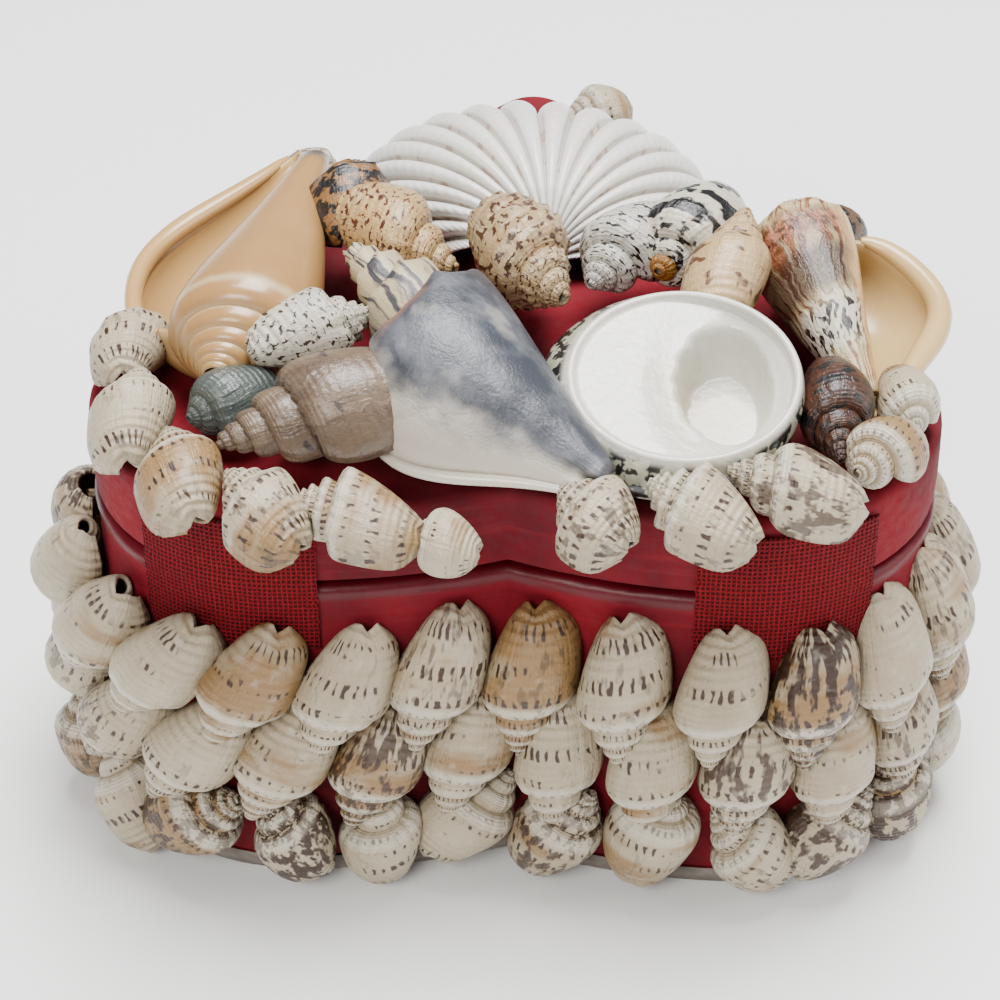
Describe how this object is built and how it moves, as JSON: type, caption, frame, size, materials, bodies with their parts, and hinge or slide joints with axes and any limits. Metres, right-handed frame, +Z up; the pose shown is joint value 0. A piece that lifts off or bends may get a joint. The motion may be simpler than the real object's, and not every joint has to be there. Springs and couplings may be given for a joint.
{
  "type": "shell box",
  "caption": "Heart-shaped hinged keepsake box covered in red cloth, its wall and lid crusted with sea shells.",
  "frame": {"origin": "on the underside, midway between the front of the lobes and the tip of the heart", "axes": "+Z up; -Y towards the lobes, where the cloth hinge is; +Y towards the tip of the heart; +X right seen from the hinge side"},
  "size_m": [0.1136, 0.1114, 0.0743],
  "materials": {
    "grey_board": "grey-brown paper over board",
    "red_cloth": "crimson cloth glued over paper board",
    "small_shell": "natural sea shell, cream with brown marks",
    "tan_shell": "natural sea shell, smooth tan",
    "grey_shell": "natural sea shell, blue-grey",
    "white_shell": "natural sea shell, white",
    "brown_shell": "natural sea shell, brown"
  },
  "bodies": {
    "box": {"base_board": "grey_board", "box_wall": "red_cloth", "wall_shells_01": "small_shell", "wall_shells_02": "small_shell", "wall_shells_03": "small_shell", "wall_shells_04": "small_shell", "wall_shells_05": "small_shell", "wall_shells_06": "small_shell", "wall_shells_07": "small_shell"},
    "lid": {"cockle": "white_shell", "conch_grey": "grey_shell", "conch_netted": "tan_shell", "conch_tan": "tan_shell", "dove_behind": "small_shell", "dove_black_dots": "small_shell", "dove_blue": "grey_shell", "dove_dark": "brown_shell", "dove_dotted": "small_shell", "dove_freckled": "small_shell", "dove_spotted": "small_shell", "dove_zebra": "small_shell", "hinge_tape_left": "red_cloth", "hinge_tape_right": "red_cloth", "lid": "red_cloth", "nerite": "white_shell", "nodular_tan": "small_shell", "rim_shell_01": "small_shell", "rim_shell_02": "small_shell", "rim_shell_03": "small_shell", "rim_shell_04": "small_shell", "rim_shell_05": "small_shell", "rim_shell_06": "small_shell", "rim_shell_07": "small_shell", "rim_shell_08": "small_shell", "rim_shell_09": "small_shell", "rim_shell_10": "small_shell", "rim_shell_11": "small_shell", "rim_shell_12": "small_shell", "rim_shell_13": "small_shell", "whelk_brown": "brown_shell", "whelk_grey": "brown_shell"}
  },
  "joints": [
    {"name": "lid_hinge", "type": "hinge", "parent": "box", "child": "lid", "pos_m": [0, -0.0475, 0.0452], "axis": [1, 0, 0], "range_deg": [0, 90], "deforming": ["hinge_tape_left", "hinge_tape_right"]}
  ]
}
